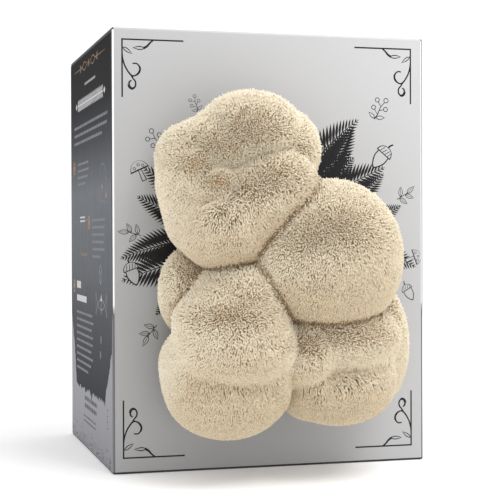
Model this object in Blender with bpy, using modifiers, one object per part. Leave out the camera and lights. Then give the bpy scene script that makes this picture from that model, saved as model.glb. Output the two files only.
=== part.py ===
"""Lion's mane mushroom grow kit: a carton, the bagged block in it, and the mushroom grown out of its front.

Metres, +Z up, the front face looks along -Y. The origin is the middle of the carton's base.
"""

import math
from typing import NamedTuple

import bmesh
import bpy
from mathutils import Matrix, Vector
from mathutils.bvhtree import BVHTree

MM = 0.001
CLEARANCE = 0.3 * MM

# Carton: folded thin corrugated board. Lid and base fold over from the front panel onto dust flaps, and tuck
# in behind the top and bottom edges of the back panel, where they are glued.
CARTON_WIDTH = 170 * MM
CARTON_DEPTH = 150 * MM
CARTON_HEIGHT = 228 * MM
BOARD = 1.2 * MM
FOLD_RADIUS = 1.2 * MM
LID_TUCK_RADIUS = 3.6 * MM
BASE_TUCK_RADIUS = 2.0 * MM
SEAM_WIDTH = 0.6 * MM
SEAM_DEPTH = 0.7 * MM
SEAM_INSET = 1.4 * MM
HINGE_MARGIN = 3 * MM

# Window in the front panel that the mushroom grows through.
WINDOW_RADIUS = 42 * MM
WINDOW_X = -5 * MM
WINDOW_Z = 105 * MM

# Grow bag: film around the block, its spare length folded flat on top of it.
FILM = 0.6 * MM
BLOCK_HEIGHT = 200 * MM
BLOCK_EDGE_RADIUS = 8 * MM
FOLDED_TOP_WIDTH = 128 * MM
FOLDED_TOP_DEPTH = 96 * MM
FOLDED_TOP_HEIGHT = 10 * MM
FOLDED_TOP_EDGE_RADIUS = 3 * MM

# Mushroom
STALK_RADIUS = 38 * MM
STALK_ROOT_DEPTH = 12 * MM
BACK_GAP = 0.5 * MM
SPINE_LENGTH = 3.2 * MM
SPINE_DROOP = 1.4 * MM
SPINE_PITCH = 6.2 * MM
SPINE_FREE_DEPTH = 4 * MM
CREASE_REACH = 14 * MM
BACKWARD_NORMAL = 0.75

FRONT_Y = -CARTON_DEPTH / 2
OVERCUT = 5 * MM


class Lump(NamedTuple):
    """One swelling of the mushroom, to the tips of its spines, in millimetres."""

    centre: tuple
    radii: tuple


LOBES = {
    "top": (
        Lump((-23, -115, 173), (24, 28, 19)),
        Lump((-4, -102, 161), (18, 26, 21)),
        Lump((-40, -107, 167), (16, 23, 16)),
        Lump((-54, -103, 158), (13, 22, 18)),
        Lump((-52, -102, 142), (14, 22, 18)),
        Lump((-37, -115, 151), (20, 25, 17)),
        Lump((-12, -113, 143), (24, 29, 25)),
        Lump((-39, -111, 127), (20, 27, 21)),
        Lump((-24, -111, 124), (20, 27, 19)),
    ),
    "right": (Lump((16.5, -117, 112), (37, 37, 36.5)),),
    "lower_left": (
        Lump((-30.5, -115, 78), (31.5, 35, 27)),
        Lump((-30, -117, 65), (31, 35, 21)),
        Lump((-35, -107, 48), (32.5, 33, 26)),
        Lump((-51, -101, 56), (14.5, 22, 15)),
    ),
    "lower_right": (
        Lump((31, -103, 73), (27, 29, 22)),
        Lump((54, -96, 70), (8.5, 20, 20)),
        Lump((48, -97, 56), (12, 22, 18)),
        Lump((22, -102, 48), (30, 29, 21.5)),
    ),
    "left": (Lump((-48, -91, 94), (16, 20, 19.5)),),
    "root": (Lump((-8, -92, 105), (50, 26, 70)),),
}


def clear_scene():
    for item in list(bpy.data.objects):
        bpy.data.objects.remove(item, do_unlink=True)


def new_collection(name):
    collection = bpy.data.collections.new(name)
    bpy.context.scene.collection.children.link(collection)
    return collection


def new_material(name, colour, roughness, metallic=0.0):
    material = bpy.data.materials.new(name)
    material.use_nodes = True
    shader = material.node_tree.nodes["Principled BSDF"]
    shader.inputs["Base Color"].default_value = (*colour, 1.0)
    shader.inputs["Roughness"].default_value = roughness
    shader.inputs["Metallic"].default_value = metallic
    return material


def new_object(name, mesh, collection, material=None):
    item = bpy.data.objects.new(name, mesh)
    collection.objects.link(item)
    if material:
        mesh.materials.append(material)
    return item


def finish_mesh(name, shape):
    mesh = bpy.data.meshes.new(name)
    shape.to_mesh(mesh)
    shape.free()
    return mesh


def box_mesh(name, low, high):
    """Box between two opposite corners."""
    low, high = Vector(low), Vector(high)
    shape = bmesh.new()
    place = Matrix.Translation((low + high) / 2) @ Matrix.Diagonal((*(high - low), 1.0))
    bmesh.ops.create_cube(shape, size=1.0, matrix=place)
    return finish_mesh(name, shape)


def window_mesh(name, radius, front, back):
    """Round bar along Y at the window, from one depth to another."""
    shape = bmesh.new()
    middle = Vector((WINDOW_X, (front + back) / 2, WINDOW_Z))
    place = Matrix.Translation(middle) @ Matrix.Rotation(math.radians(90), 4, "X")
    bmesh.ops.create_cone(
        shape, cap_ends=True, segments=48, radius1=radius, radius2=radius, depth=back - front, matrix=place
    )
    return finish_mesh(name, shape)


def new_cutter(name, mesh, collection):
    cutter = new_object(name, mesh, collection)
    cutter.hide_render = True
    cutter.display_type = "WIRE"
    return cutter


def add_boolean(item, other, operation="DIFFERENCE"):
    modifier = item.modifiers.new(other.name, "BOOLEAN")
    modifier.operation = operation
    modifier.solver = "EXACT"
    modifier.object = other


def add_bevel(item, width, segments, limit="ANGLE"):
    modifier = item.modifiers.new("rounded_edges", "BEVEL")
    modifier.width = width
    modifier.segments = segments
    modifier.limit_method = limit


def evaluated_mesh(item):
    graph = bpy.context.evaluated_depsgraph_get()
    return bpy.data.meshes.new_from_object(item.evaluated_get(graph))


def carton_inside():
    """Corners of the space between the walls and the doubled flaps."""
    side, back, floor = CARTON_WIDTH / 2 - BOARD, CARTON_DEPTH / 2 - BOARD, 2 * BOARD
    return (-side, -back, floor), (side, back, CARTON_HEIGHT - floor)


def flap_seams(end, face_z, outward, tuck_radius):
    """Slots around a lid or base flap at a height: beside it, and at the back under its tuck fold.

    outward is 1 where the flap looks up and -1 where it looks down.
    """
    left = -CARTON_WIDTH / 2 + SEAM_INSET
    right = -left
    hinge = FRONT_Y + HINGE_MARGIN
    tuck = -FRONT_Y - tuck_radius
    depths = sorted((face_z - outward * SEAM_DEPTH, face_z + outward * OVERCUT))
    heights = sorted((face_z - outward * tuck_radius, face_z - outward * (tuck_radius + SEAM_WIDTH)))
    yield f"{end}_seam_left", (left, hinge, depths[0]), (left + SEAM_WIDTH, tuck, depths[1])
    yield f"{end}_seam_right", (right - SEAM_WIDTH, hinge, depths[0]), (right, tuck, depths[1])
    yield f"{end}_seam_back", (left, -FRONT_Y - SEAM_DEPTH, heights[0]), (right, -FRONT_Y + OVERCUT, heights[1])


def fold_radius(edge):
    """Radius of the fold along one edge of the closed box."""
    middle = (edge.verts[0].co + edge.verts[1].co) / 2
    if abs(middle.x) > MM or middle.y < 0:
        return FOLD_RADIUS
    return LID_TUCK_RADIUS if middle.z > CARTON_HEIGHT / 2 else BASE_TUCK_RADIUS


def folded_box_mesh(name, low, high):
    """Box whose edges carry their fold's share of the widest fold radius."""
    mesh = box_mesh(name, low, high)
    shape = bmesh.new()
    shape.from_mesh(mesh)
    share = shape.edges.layers.float.new("bevel_weight_edge")
    for edge in shape.edges:
        edge[share] = fold_radius(edge) / LID_TUCK_RADIUS
    shape.to_mesh(mesh)
    shape.free()
    return mesh


def build_carton(parts, cutters):
    low = (-CARTON_WIDTH / 2, FRONT_Y, 0)
    high = (CARTON_WIDTH / 2, -FRONT_Y, CARTON_HEIGHT)
    board = new_material("printed_carton_board", (0.60, 0.60, 0.61), 0.45)
    carton = new_object("carton", folded_box_mesh("carton", low, high), parts, board)
    add_bevel(carton, LID_TUCK_RADIUS, 3, "WEIGHT")
    add_boolean(carton, new_cutter("carton_inside", box_mesh("carton_inside", *carton_inside()), cutters))
    window = window_mesh("window", WINDOW_RADIUS, FRONT_Y - OVERCUT, FRONT_Y + BOARD + OVERCUT)
    add_boolean(carton, new_cutter("window", window, cutters))
    seams = list(flap_seams("lid", CARTON_HEIGHT, 1, LID_TUCK_RADIUS))
    seams += flap_seams("base", 0, -1, BASE_TUCK_RADIUS)
    for name, start, end in seams:
        add_boolean(carton, new_cutter(name, box_mesh(name, start, end), cutters))
    return carton


def block_corners():
    """Corners of the block, clear of the film that wraps it."""
    inside_low, inside_high = carton_inside()
    margin = Vector((1, 1, 1)) * (CLEARANCE + FILM + CLEARANCE)
    low = Vector(inside_low) + margin
    high = Vector(inside_high) - margin
    high.z = low.z + BLOCK_HEIGHT
    return low, high


def build_block(parts):
    wood = new_material("colonised_sawdust", (0.55, 0.43, 0.29), 0.9)
    block = new_object("substrate_block", box_mesh("substrate_block", *block_corners()), parts, wood)
    add_bevel(block, BLOCK_EDGE_RADIUS, 4)
    return block


def build_bag(parts, cutters):
    low, high = block_corners()
    inner = Vector((1, 1, 1)) * CLEARANCE
    outer = Vector((1, 1, 1)) * (CLEARANCE + FILM)
    film = new_material("grow_bag_film", (0.80, 0.80, 0.78), 0.3)
    bag = new_object("grow_bag", box_mesh("grow_bag", low - outer, high + outer), parts, film)
    add_bevel(bag, BLOCK_EDGE_RADIUS + FILM, 4)
    hollow = new_cutter("bag_inside", box_mesh("bag_inside", low - inner, high + inner), cutters)
    add_bevel(hollow, BLOCK_EDGE_RADIUS, 4)
    add_boolean(bag, hollow)
    mouth = window_mesh("bag_mouth", STALK_RADIUS + CLEARANCE, FRONT_Y, low.y + FILM)
    add_boolean(bag, new_cutter("bag_mouth", mouth, cutters))
    half = Vector((FOLDED_TOP_WIDTH / 2, FOLDED_TOP_DEPTH / 2, 0))
    base = Vector((0, 0, high.z + CLEARANCE + FILM / 2))
    top = base + half + Vector((0, 0, FOLDED_TOP_HEIGHT))
    folded = new_cutter("folded_top", box_mesh("folded_top", base - half, top), cutters)
    add_bevel(folded, FOLDED_TOP_EDGE_RADIUS, 3)
    add_boolean(bag, folded, "UNION")
    return bag


def lump_ball(shape, lump, inset):
    """Ellipsoid at a lump, made smaller by an inset."""
    centre = Vector(lump.centre) * MM
    radii = [radius * MM - inset for radius in lump.radii]
    place = Matrix.Translation(centre) @ Matrix.Diagonal((*radii, 1.0))
    bmesh.ops.create_icosphere(shape, subdivisions=3, radius=1.0, matrix=place)


def flesh_mesh(cutters):
    """The lobes grown into one skin, as deep as the roots of the spines."""
    shape = bmesh.new()
    for lumps in LOBES.values():
        for lump in lumps:
            lump_ball(shape, lump, SPINE_LENGTH)
    lobes = new_cutter("lobes", finish_mesh("lobes", shape), cutters)
    skin = lobes.modifiers.new("one_skin", "REMESH")
    skin.mode = "VOXEL"
    skin.voxel_size = SPINE_PITCH
    return evaluated_mesh(lobes)


def flatten_back(shape):
    """Cut the flesh flat where it presses on the carton."""
    back = Vector((0, FRONT_Y - BACK_GAP, 0))
    everything = shape.verts[:] + shape.edges[:] + shape.faces[:]
    bmesh.ops.bisect_plane(
        shape, geom=everything, dist=0.05 * MM, plane_co=back, plane_no=(0, 1, 0), clear_outer=True
    )
    rims = [edge for edge in shape.edges if edge.is_boundary]
    bmesh.ops.holes_fill(shape, edges=rims, sides=0)
    shape.normal_update()


def free_length(tree, face):
    """Length of a spine at a face, shorter where another lobe is close in front of it."""
    centre = face.calc_center_median()
    start = centre + face.normal * CLEARANCE
    distance = tree.ray_cast(start, face.normal, CREASE_REACH)[3]
    if distance is None:
        return SPINE_LENGTH
    return SPINE_LENGTH * 0.5 * distance / CREASE_REACH


def raise_spines(shape):
    """Raise each free face of the flesh into one drooping tooth."""
    tree = BVHTree.FromBMesh(shape)
    back = FRONT_Y - BACK_GAP - SPINE_FREE_DEPTH
    free = [
        face
        for face in shape.faces
        if max(vert.co.y for vert in face.verts) < back and face.normal.y < BACKWARD_NORMAL
    ]
    lengths = [(face.calc_center_median(), free_length(tree, face), face.normal.copy()) for face in free]
    tips = bmesh.ops.poke(shape, faces=free, offset=0.0)["verts"]
    for tip, (centre, length, normal) in zip(tips, lengths):
        droop = SPINE_DROOP * (length / SPINE_LENGTH) * (1 - abs(normal.z))
        tip.co = centre + normal * length - Vector((0, 0, droop))


def build_mushroom(parts, cutters):
    shape = bmesh.new()
    flesh = flesh_mesh(cutters)
    shape.from_mesh(flesh)
    bpy.data.meshes.remove(flesh)
    flatten_back(shape)
    raise_spines(shape)
    cream = new_material("cream_spines", (0.68, 0.58, 0.41), 0.85)
    mushroom = new_object("lions_mane", finish_mesh("lions_mane", shape), parts, cream)
    block_front = block_corners()[0].y
    stalk = window_mesh("stalk", STALK_RADIUS, FRONT_Y - STALK_ROOT_DEPTH, block_front - CLEARANCE)
    add_boolean(mushroom, new_cutter("stalk", stalk, cutters), "UNION")
    return mushroom


def shade(item, degrees):
    item.data.shade_smooth()
    item.data.set_sharp_from_angle(angle=math.radians(degrees))


def main():
    clear_scene()
    parts = new_collection("lions_mane_grow_kit")
    cutters = new_collection("cutters")
    shade(build_carton(parts, cutters), 30)
    shade(build_bag(parts, cutters), 30)
    shade(build_block(parts), 40)
    build_mushroom(parts, cutters)


main()
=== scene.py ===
"""Looks of the lion's mane mushroom grow kit: the printed carton, the spiny mushroom and a white studio.

Lengths are in millimetres where a name ends in _mm or a dataclass says so, and in metres everywhere else.
The frame has +Z up, the carton's front face looks along -Y, and its base stands on the floor.
"""

import logging
import math
from dataclasses import dataclass, field
from enum import Enum
from typing import Any, Iterable, Sequence

import bmesh
import bpy
import numpy as np
from mathutils import Matrix, Vector
from mathutils.geometry import delaunay_2d_cdt
from mathutils.kdtree import KDTree


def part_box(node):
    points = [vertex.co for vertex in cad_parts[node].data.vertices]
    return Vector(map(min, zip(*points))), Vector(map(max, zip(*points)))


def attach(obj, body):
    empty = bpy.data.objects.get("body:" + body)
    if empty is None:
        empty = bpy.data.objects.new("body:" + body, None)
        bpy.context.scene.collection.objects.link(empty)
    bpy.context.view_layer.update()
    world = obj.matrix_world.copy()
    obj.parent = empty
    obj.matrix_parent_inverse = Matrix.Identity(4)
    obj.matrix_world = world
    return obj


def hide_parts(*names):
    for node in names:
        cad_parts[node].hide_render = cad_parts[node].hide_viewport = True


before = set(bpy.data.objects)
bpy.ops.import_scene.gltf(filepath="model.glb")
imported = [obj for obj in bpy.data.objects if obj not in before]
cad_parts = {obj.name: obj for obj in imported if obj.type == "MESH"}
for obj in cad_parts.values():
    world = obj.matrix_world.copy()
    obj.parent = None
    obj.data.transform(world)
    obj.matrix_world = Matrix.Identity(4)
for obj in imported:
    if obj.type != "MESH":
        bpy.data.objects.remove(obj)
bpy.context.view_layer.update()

MM = 0.001
CARTON_LOW, CARTON_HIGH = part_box("carton")
WIDTH_MM = (CARTON_HIGH[0] - CARTON_LOW[0]) / MM
DEPTH_MM = (CARTON_HIGH[1] - CARTON_LOW[1]) / MM
HEIGHT_MM = (CARTON_HIGH[2] - CARTON_LOW[2]) / MM
FRONT_Y_MM = CARTON_LOW[1] / MM
BAKE_MAP = "OFBake"

Point = tuple[float, float]
Colour = tuple[float, float, float]
log = logging.getLogger("grow_kit")


class Wire:
    """A socket of numbers. Python's operators on it add Math nodes to its tree."""

    def __init__(self, recipe: "Recipe", socket: bpy.types.NodeSocket) -> None:
        """Keep the socket and the recipe that it belongs to.

        Args:
            recipe: The material being written.
            socket: The output socket that holds the value.
        """
        self.recipe = recipe
        self.socket = socket

    def _math(self, operation: str, *values: Any) -> "Wire":
        """Add one Math node.

        Args:
            operation: The Math node's operation.
            values: Its inputs in order, each a number or a Wire.

        Returns:
            The node's output.
        """
        node = self.recipe.node("ShaderNodeMath", {"operation": operation}, dict(enumerate(values)))
        return Wire(self.recipe, node.outputs[0])

    def __add__(self, other: Any) -> "Wire":
        """Sum."""
        return self._math("ADD", self, other)

    __radd__ = __add__

    def __mul__(self, other: Any) -> "Wire":
        """Product."""
        return self._math("MULTIPLY", self, other)

    __rmul__ = __mul__

    def __sub__(self, other: Any) -> "Wire":
        """Difference."""
        return self._math("SUBTRACT", self, other)

    def __rsub__(self, other: Any) -> "Wire":
        """Difference from a number."""
        return self._math("SUBTRACT", other, self)

    def __truediv__(self, other: Any) -> "Wire":
        """Quotient."""
        return self._math("DIVIDE", self, other)

    def step(self, low: float, high: float) -> "Wire":
        """Smooth step.

        Args:
            low: The value at which the result leaves 0.
            high: The value at which it reaches 1.

        Returns:
            The stepped value.
        """
        settings = {"interpolation_type": "SMOOTHSTEP"}
        sockets = {"Value": self, "From Min": low, "From Max": high}
        node = self.recipe.node("ShaderNodeMapRange", settings, sockets)
        return Wire(self.recipe, node.outputs["Result"])


class Recipe:
    """One material while its nodes are written."""

    def __init__(self, name: str, roughness: float, **constants: Any) -> None:
        """Start a material with a Principled shader.

        Args:
            name: The material's name.
            roughness: The shader's roughness.
            constants: Other constant sockets, underscores standing for the spaces in their names.
        """
        self.material = bpy.data.materials.new(name)
        self.material.use_nodes = True
        self.tree = self.material.node_tree
        self.shader = self.tree.nodes["Principled BSDF"]
        self.shader.inputs["Roughness"].default_value = roughness
        for socket, value in constants.items():
            self.shader.inputs[socket.replace("_", " ")].default_value = value

    def node(self, kind: str, settings: dict[str, Any], sockets: dict[Any, Any]) -> bpy.types.Node:
        """Add any node.

        Args:
            kind: The node's type.
            settings: Its properties, set first. "stops" fills a colour ramp with (place, colour) pairs.
            sockets: Values, Wires or output sockets by input name or number.

        Returns:
            The new node.
        """
        node = self.tree.nodes.new(kind)
        for key, value in settings.items():
            if key == "stops":
                self._fill_ramp(node.color_ramp, value)
            else:
                setattr(node, key, value)
        for key, value in sockets.items():
            self.feed(node.inputs[key], value)
        return node

    @staticmethod
    def _fill_ramp(ramp: bpy.types.ColorRamp, stops: Sequence[tuple[float, Colour]]) -> None:
        """Write the stops of a colour ramp.

        Args:
            ramp: The ramp.
            stops: Its places and colours from left to right.
        """
        while len(ramp.elements) < len(stops):
            ramp.elements.new(0.5)
        for element, (place, colour) in zip(ramp.elements, stops):
            element.position = place
            element.color = (*colour, 1.0)

    def feed(self, socket: bpy.types.NodeSocket, value: Any) -> None:
        """Link or set one input.

        Args:
            socket: The input socket.
            value: A Wire, an output socket, a colour or a number.
        """
        if isinstance(value, Wire):
            self.tree.links.new(value.socket, socket)
        elif isinstance(value, bpy.types.NodeSocket):
            self.tree.links.new(value, socket)
        elif isinstance(value, tuple) and len(value) == 3 and len(socket.default_value) == 4:
            socket.default_value = (*value, 1.0)
        else:
            socket.default_value = value

    def place(self) -> tuple[Wire, Wire, Wire]:
        """Coordinates of the surface in the frame, in millimetres."""
        position = self.node("ShaderNodeTexCoord", {}, {}).outputs["Object"]
        split = self.node("ShaderNodeSeparateXYZ", {}, {"Vector": position})
        return tuple(Wire(self, output) * (1 / MM) for output in split.outputs)

    def noise(self, size_mm: float, detail: float = 3.0, stretch: Colour = (1.0, 1.0, 1.0)) -> Wire:
        """Soft noise of about 0.5 on average.

        Args:
            size_mm: Size of its patches.
            detail: Number of finer layers.
            stretch: How much finer it is along each axis.

        Returns:
            The noise.
        """
        position = self.node("ShaderNodeTexCoord", {}, {}).outputs["Object"]
        scaled = self.node("ShaderNodeVectorMath", {"operation": "MULTIPLY"}, {0: position, 1: stretch})
        sockets = {"Vector": scaled.outputs[0], "Scale": 1 / (size_mm * MM), "Detail": detail}
        return Wire(self, self.node("ShaderNodeTexNoise", {}, sockets).outputs[0])

    def attribute(self, name: str) -> Wire:
        """A mesh's float attribute by name."""
        node = self.node("ShaderNodeAttribute", {"attribute_name": name}, {})
        return Wire(self, node.outputs["Fac"])

    def ramp(self, value: Wire, stops: Sequence[tuple[float, Colour]]) -> bpy.types.NodeSocket:
        """Colour from a value.

        Args:
            value: The value from 0 to 1.
            stops: Places and colours.

        Returns:
            The colour socket.
        """
        return self.node("ShaderNodeValToRGB", {"stops": stops}, {0: value}).outputs[0]

    def mix(self, share: Any, first: Any, second: Any) -> bpy.types.NodeSocket:
        """Blend two colours.

        Args:
            share: Share of the second colour.
            first: The first colour.
            second: The second colour.

        Returns:
            The colour socket.
        """
        settings = {"data_type": "RGBA", "blend_type": "MIX"}
        return self.node("ShaderNodeMix", settings, {0: share, 6: first, 7: second}).outputs[2]

    def tint(self, colour: Any, strength: Wire) -> bpy.types.NodeSocket:
        """Multiply a colour by a value.

        Args:
            colour: The colour.
            strength: The value.

        Returns:
            The colour socket.
        """
        sockets = {0: colour, "Scale": strength}
        return self.node("ShaderNodeVectorMath", {"operation": "SCALE"}, sockets).outputs[0]

    def bump(self, height: Wire, depth_mm: float) -> None:
        """Raise the surface by a height from 0 to 1.

        Args:
            height: The height.
            depth_mm: The full height in millimetres.
        """
        node = self.node("ShaderNodeBump", {}, {"Strength": 1.0, "Distance": depth_mm * MM, "Height": height})
        self.feed(self.shader.inputs["Normal"], node.outputs[0])

    def colour(self, value: Any) -> bpy.types.Material:
        """Set the base colour and hand over the material.

        Args:
            value: A colour or a colour socket.

        Returns:
            The finished material.
        """
        self.feed(self.shader.inputs["Base Color"], value)
        return self.material


def add_piece(
    name: str,
    vertices: np.ndarray,
    faces: Iterable[Sequence[int]],
    materials: Sequence[bpy.types.Material],
    slots: Sequence[int] | None = None,
    smooth: bool = True,
) -> bpy.types.Object:
    """Make a mesh object.

    Args:
        name: The piece's name.
        vertices: Its points in millimetres.
        faces: Vertex numbers of each face.
        materials: Its finishes.
        slots: The finish number of each face, or None where there is one finish.
        smooth: Whether the faces are shaded smooth.

    Returns:
        The new object, in the scene.
    """
    mesh = bpy.data.meshes.new(name)
    mesh.from_pydata((np.asarray(vertices) * MM).tolist(), [], [list(face) for face in faces])
    for material in materials:
        mesh.materials.append(material)
    if slots is not None:
        mesh.polygons.foreach_set("material_index", list(slots))
    mesh.polygons.foreach_set("use_smooth", [smooth] * len(mesh.polygons))
    mesh.update()
    item = bpy.data.objects.new(name, mesh)
    bpy.context.scene.collection.objects.link(item)
    return item


def hand_over(item: bpy.types.Object, node: str | None = None) -> None:
    """Tell the frame what a piece rides on and stands for.

    Args:
        item: The piece.
        node: The CAD node that it stands for, if any.
    """
    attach(item, "root")
    if node:
        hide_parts(node)
    log.info("%s: %d faces", item.name, len(item.data.polygons))


def unwrap_flat(item: bpy.types.Object, across: np.ndarray, up: np.ndarray, low: Point, size: Point) -> None:
    """Lay a piece flat on its bake map.

    Args:
        item: The piece.
        across: Direction of the map's width.
        up: Direction of the map's height.
        low: The lowest coordinates along the two directions, in millimetres.
        size: The map's width and height in millimetres.
    """
    mesh = item.data
    points = np.zeros(len(mesh.vertices) * 3)
    mesh.vertices.foreach_get("co", points)
    points = points.reshape(-1, 3) / MM
    corners = np.zeros(len(mesh.loops), dtype=np.int32)
    mesh.loops.foreach_get("vertex_index", corners)
    spread = np.stack(((points @ across - low[0]) / size[0], (points @ up - low[1]) / size[1]), axis=1)
    mesh.uv_layers.new(name=BAKE_MAP).data.foreach_set("uv", np.clip(spread[corners], 0, 1).ravel())


def arc(centre: Point, radius: float, start: float, end: float, steps: int) -> list[Point]:
    """Points along an arc.

    Args:
        centre: Its centre.
        radius: Its radius.
        start: The first angle in degrees.
        end: The last angle in degrees.
        steps: Number of straight stretches.

    Returns:
        The points from start to end.
    """
    angles = np.radians(np.linspace(start, end, steps + 1))
    return [(centre[0] + radius * math.cos(a), centre[1] + radius * math.sin(a)) for a in angles]


def curve(points: Sequence[Point], steps: int = 5) -> list[Point]:
    """Smooth line through points, as a Catmull-Rom spline.

    Args:
        points: The points.
        steps: Number of straight stretches between two of them.

    Returns:
        The points of the smooth line.
    """
    knots = np.array([points[0], *points, points[-1]], dtype=float)
    line = []
    for before, start, end, after in zip(knots, knots[1:], knots[2:], knots[3:]):
        for t in np.arange(steps) / steps:
            bend = (2 * before - 5 * start + 4 * end - after) * t * t
            turn = (3 * start - before - 3 * end + after) * t ** 3
            line.append(tuple((2 * start + (end - before) * t + bend + turn) / 2))
    return [*line, tuple(knots[-1])]


class Ink(Enum):
    """What covers an area of the carton."""

    SILVER = "silver_board"
    BLACK = "black_line"
    SLATE = "slate_print"
    PALE = "pale_print"
    WHITE = "white_print"
    AMBER = "amber_print"
    ASH = "ash_print"
    GOLD = "gold_print"
    UMBER = "umber_print"
    CHARCOAL = "charcoal_print"
    OPEN = "open"


@dataclass
class Drawing:
    """Areas of ink in a plane, in millimetres. A later area covers an earlier one."""

    areas: list[tuple[Ink, list[Point]]] = field(default_factory=list)
    origin: Point = (0.0, 0.0)
    turn: float = 0.0
    scale: float = 1.0
    mirror: tuple[int, int] = (1, 1)

    def place(
        self, x: float, y: float, turn: float = 0.0, scale: float = 1.0, mirror: tuple[int, int] = (1, 1)
    ) -> None:
        """Set where the next motif is drawn.

        Args:
            x: Its origin across.
            y: Its origin up.
            turn: Its turn in degrees.
            scale: Its scale.
            mirror: -1 for each axis that is mirrored, else 1.
        """
        self.origin = (x, y)
        self.turn = math.radians(turn)
        self.scale = scale
        self.mirror = mirror

    def fill(self, ink: Ink, points: Iterable[Point]) -> None:
        """Fill an area.

        Args:
            ink: Its ink.
            points: Its outline, in the motif's own coordinates. Either way round will do.
        """
        cosine = math.cos(self.turn) * self.scale
        sine = math.sin(self.turn) * self.scale
        placed = []
        for x, y in points:
            x *= self.mirror[0]
            y *= self.mirror[1]
            placed.append((self.origin[0] + cosine * x - sine * y, self.origin[1] + sine * x + cosine * y))
        turned = sum(a[0] * b[1] - b[0] * a[1] for a, b in zip(placed, [*placed[1:], placed[0]]))
        if abs(turned) > 1e-4:
            self.areas.append((ink, placed if turned > 0 else placed[::-1]))

    def line(self, ink: Ink, points: Sequence[Point], width: float, end_width: float | None = None) -> None:
        """Draw a line with a width that may taper.

        Args:
            ink: Its ink.
            points: Its points.
            width: Its width at the start.
            end_width: Its width at the end, or None for the same.
        """
        apart = [a for a, b in zip(points, [None, *points]) if b is None or math.dist(a, b) > 1e-3]
        path = np.array(apart, dtype=float)
        steps = np.diff(path, axis=0)
        steps /= np.linalg.norm(steps, axis=1, keepdims=True)
        last = width if end_width is None else end_width
        half = np.linspace(width, last, len(path)) / 2
        for number, step in enumerate(steps):
            ends = [(number, steps[max(number - 1, 0)]), (number + 1, steps[min(number + 1, len(steps) - 1)])]
            corners = []
            for place, neighbour in ends:
                ahead = step + neighbour
                sharp = ahead @ step < 1.2
                ahead = step if sharp else ahead / (ahead @ step)
                aside = np.array((-ahead[1], ahead[0])) * half[place]
                corners += [path[place] + aside, path[place] - aside]
                if sharp:
                    self.fill(ink, arc(path[place], half[place], 0, 360, 8)[:-1])
            self.fill(ink, [corners[0], corners[1], corners[3], corners[2]])

    def bar(self, ink: Ink, left: float, right: float, low: float, high: float) -> None:
        """Fill an upright rectangle.

        Args:
            ink: Its ink.
            left: Its left side.
            right: Its right side.
            low: Its lower side.
            high: Its upper side.
        """
        self.fill(ink, [(left, low), (right, low), (right, high), (left, high)])

    def ring(
        self, ink: Ink, inside: Ink, centre: Point, radius: float, width: float, steps: int = 14
    ) -> None:
        """Draw a circle with another ink inside.

        Args:
            ink: Ink of its line.
            inside: Ink inside.
            centre: Its centre.
            radius: Its outer radius.
            width: Width of its line.
            steps: Number of its sides.
        """
        self.fill(ink, arc(centre, radius, 0, 360, steps)[:-1])
        self.fill(inside, arc(centre, radius - width, 0, 360, steps)[:-1])

    def leaf(
        self, ink: Ink, inside: Ink | None, root: Point, tip: Point, belly: float, width: float = 0.4
    ) -> None:
        """Draw a pointed leaf, filled or as an outline.

        Args:
            ink: Ink of the leaf or its outline.
            inside: Ink within the outline, or None for a filled leaf.
            root: Where it starts.
            tip: Where it ends.
            belly: Its widest breadth.
            width: Width of its outline.
        """
        start, end = np.array(root, dtype=float), np.array(tip, dtype=float)
        along = end - start
        aside = np.array((-along[1], along[0])) / (np.linalg.norm(along) + 1e-9)
        shares = np.linspace(0, 1, 7)
        swell = np.sin(np.pi * shares ** 0.8)[1:-1]

        def outline(breadth: float, trim: float) -> list[Point]:
            """The leaf's two edges.

            Args:
                breadth: Its widest breadth.
                trim: Share taken off each end.

            Returns:
                The closed outline.
            """
            axis = start + along * (trim + (1 - 2 * trim) * shares[:, None])
            left = axis[1:-1] + aside * (swell * breadth / 2)[:, None]
            right = axis[1:-1] - aside * (swell * breadth / 2)[:, None]
            return [axis[0], *right, axis[-1], *left[::-1]]

        self.fill(ink, outline(belly, 0.0))
        if inside:
            self.fill(inside, outline(belly - 2 * width, 1.3 * width / np.linalg.norm(along)))


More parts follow.
